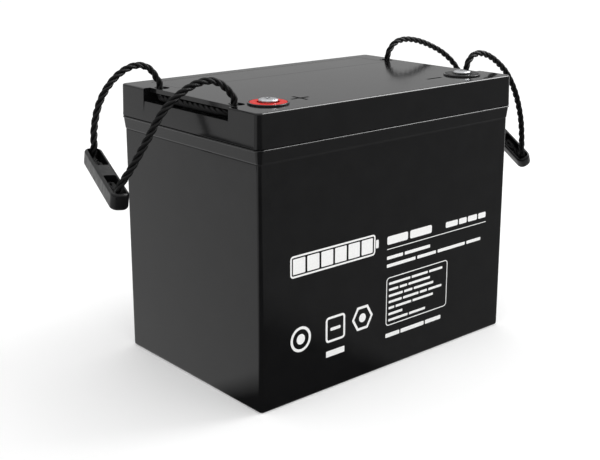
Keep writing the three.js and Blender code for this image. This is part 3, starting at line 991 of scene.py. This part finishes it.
def circle(x, z, r, sides=48):
    return [(px, pz) for px, pz, _ in ring_points(x, z, r, 0, sides)]


def word_bars(x0, z0, height, widths, gap):
    """Plain bars in place of a line of words."""
    meshes = []
    x = x0
    for width in widths:
        bar = round_bar(x, x + width, z0, z0 + height, height * BAR_CORNER)
        meshes.append(ink_mesh(bar))
        x += width + gap
    return meshes


def battery_sign(x0, x1, z0, z1):
    """A plain battery sign: an outline with six cells in it and a stud at its end."""
    middle = (z0 + z1) / 2
    meshes = [frame_bar(x0, x1 - 3.5, z0, z1, 2.6, 1.3)]
    meshes.append(ink_mesh(round_bar(x1 - 2.9, x1, middle - 3.2, middle + 3.2, 0.8)))
    pitch = (x1 - 3.5 - x0 - 3.2) / CELLS
    for k in range(CELLS):
        x = x0 + 2.4 + k * pitch
        meshes.append(ink_mesh(round_bar(x, x + pitch - 1.9, z0 + 2.4, z1 - 2.4, 0.7)))
    return meshes


def front_print():
    """Bars and plain shapes, laid out like a printed label but with nothing to read."""
    meshes = battery_sign(-101, -16, 92.5, 108.5)
    meshes += word_bars(-7, 97.4, 6.4, [22, 24], 2.4)
    meshes += word_bars(57.5, 97.8, 4.6, [14, 9, 11, 9], 1.6)
    meshes.append(ink_mesh(round_bar(-7, 106, 93.6, 94.2, 0.25)))
    meshes += word_bars(-7, 85.8, 2.5, [17, 28], 2)
    meshes += word_bars(-7, 79.6, 2.5, [31, 21, 32, 17], 2)
    meshes.append(frame_bar(-7, 61, 33, 71.5, 3, 0.7))
    rows = ([23, 18, 15], [10, 8, 24], [15, 9, 22], [14, 17, 8, 15], [6, 17, 23], [15], [21, 18])
    for number, widths in enumerate(rows):
        meshes += word_bars(-4.2, 65.4 - 4.85 * number, 1.9, widths, 1.6)
    meshes += word_bars(-7, 23.6, 3.2, [15, 26, 18], 1.4)
    meshes.append(ink_mesh(circle(-91.5, 46, 9.4), [circle(-91.5, 46, 7.4)]))
    meshes.append(ink_mesh(circle(-91.5, 46, 3.8)))
    meshes.append(frame_bar(-68, -49, 36, 55.5, 3, 1.7))
    meshes.append(ink_mesh(round_bar(-63.4, -53.6, 44.6, 46.9, 0.7)))
    meshes.append(ink_mesh(circle(-31.5, 46.5, 10.6, 6), [circle(-31.5, 46.5, 8.4, 6)]))
    meshes.append(ink_mesh(circle(-31.5, 46.5, 3.4)))
    meshes.append(ink_mesh(round_bar(-67.5, -49.5, 25, 29.6, 0.5)))
    piece = new_object("front_print", join_meshes("front_print", meshes))
    finished(piece, INK, sharp=30, weighted=False)


front_print()

# ---------------------------------------------------------------- floor and light

WORLD = 0.73
FLOOR_REACH = 60  # metres each way, so that low views see only a thin strip beyond it
# Round the battery, from the -X side anticlockwise: how bright the glossy faces find the studio
CARDS = (
    (-180, 0.88), (-172, 0.88), (-158, 0.02), (-100, 0.02), (-84, 0.25), (-20, 0.25), (-4, 0.88),
    (180, 0.88),
)
WALL_CARDS = ((-180, 0.46), (180, 0.46))
CARD_REACH = 3
CARD_LIFT = 0.0004


def sheet(name, half_x, half_y):
    """A flat rectangle about the origin, facing up."""
    signs = ((-1, -1), (1, -1), (1, 1), (-1, 1))
    corners = [(sx * half_x, sy * half_y, 0) for sx, sy in signs]
    return new_object(name, mesh_from(name, corners, [(0, 1, 2, 3)]))


def glowing_material(name):
    """A material that only shines, and its emission node."""
    made = bpy.data.materials.new(name)
    made.use_nodes = True
    made.node_tree.nodes.clear()
    glow = node(made, "ShaderNodeEmission")
    out = node(made, "ShaderNodeOutputMaterial")
    link(made, glow, "Emission", out, "Surface")
    return made, glow


def hide_from_all_but_glossy(obj):
    for ray in ("camera", "diffuse", "transmission", "volume_scatter", "shadow"):
        setattr(obj, f"visible_{ray}", False)


def floor():
    plane = sheet("floor", FLOOR_REACH, FLOOR_REACH)
    made = material("pale_floor", (0.93, 0.93, 0.93), 0.9)
    shader_of(made).inputs["Specular IOR Level"].default_value = 0
    shader_of(made).inputs["Emission Color"].default_value = (1, 1, 1, 1)
    shader_of(made).inputs["Emission Strength"].default_value = 0.12
    plane.data.materials.append(made)
    plane.visible_glossy = False


def reflector_cards(name, rows, stops):
    """Black, grey and white cards round the battery, which only glossy surfaces see."""
    sides = 96
    points = [p for r, z in rows for p in ring_points(0, 0, r, z, sides)]
    faces = [(k, (k + 1) % sides, sides + (k + 1) % sides, sides + k) for k in range(sides)]
    ring = new_object(name, mesh_from(name, points, faces))
    made, glow = glowing_material(name)
    place = node(made, "ShaderNodeTexCoord")
    around = node(made, "ShaderNodeTexGradient")
    around.gradient_type = "RADIAL"
    ramp = node(made, "ShaderNodeValToRGB")
    while len(ramp.color_ramp.elements) < len(stops):
        ramp.color_ramp.elements.new(0.5)
    for element, (angle, bright) in zip(ramp.color_ramp.elements, stops):
        element.position = (angle + 180) / 360
        element.color = (bright, bright, bright, 1)
    link(made, place, "Object", around, "Vector")
    link(made, around, "Fac", ramp, "Fac")
    link(made, ramp, "Color", glow, "Color")
    ring.data.materials.append(made)
    hide_from_all_but_glossy(ring)


def edge_card(place, size, strength):
    """A bright card that only glossy surfaces see. It draws the light line along the edges."""
    card = sheet("edge_card", size[0] / 2, size[1] / 2)
    card.location = place
    card.rotation_mode = "QUATERNION"
    card.rotation_quaternion = (-Vector(place)).to_track_quat("-Z", "Y")
    made, glow = glowing_material("edge_card")
    glow.inputs["Strength"].default_value = strength
    card.data.materials.append(made)
    hide_from_all_but_glossy(card)


def aimed(light, place, aim):
    bpy.context.collection.objects.link(light)
    light.location = place
    light.rotation_mode = "QUATERNION"
    light.rotation_quaternion = (Vector(aim) - Vector(place)).to_track_quat("-Z", "Y")


def softbox(name, place, size, power):
    data = bpy.data.lights.new(name, "AREA")
    data.shape = "RECTANGLE"
    data.size, data.size_y = size
    data.energy = power
    light = bpy.data.objects.new(name, data)
    aimed(light, place, (0, 0, 0.12))
    light.visible_camera = False


def sky_light(strength, spread):
    """A broad soft light from almost overhead, its spread in degrees."""
    data = bpy.data.lights.new("sky_light", "SUN")
    data.energy = strength
    data.angle = math.radians(spread)
    aimed(bpy.data.objects.new("sky_light", data), (-0.15, 0.1, 2), (0, 0, 0))


def world():
    made = bpy.data.worlds.new("studio")
    made.use_nodes = True
    made.node_tree.nodes["Background"].inputs["Color"].default_value = (1, 1, 1, 1)
    made.node_tree.nodes["Background"].inputs["Strength"].default_value = WORLD
    bpy.context.scene.world = made


floor()
reflector_cards("floor_cards", ((0.002, CARD_LIFT), (CARD_REACH, CARD_LIFT)), CARDS)
reflector_cards("wall_cards", ((CARD_REACH, CARD_LIFT), (CARD_REACH, 1)), WALL_CARDS)
world()
sky_light(strength=0.8, spread=90)
softbox("right_softbox", place=(0.95, -0.34, 1.09), size=(0.5, 1.2), power=6)
edge_card(place=(1.1, -0.52, 1.2), size=(0.9, 1.0), strength=14)
bpy.context.scene.view_settings.view_transform = "Standard"
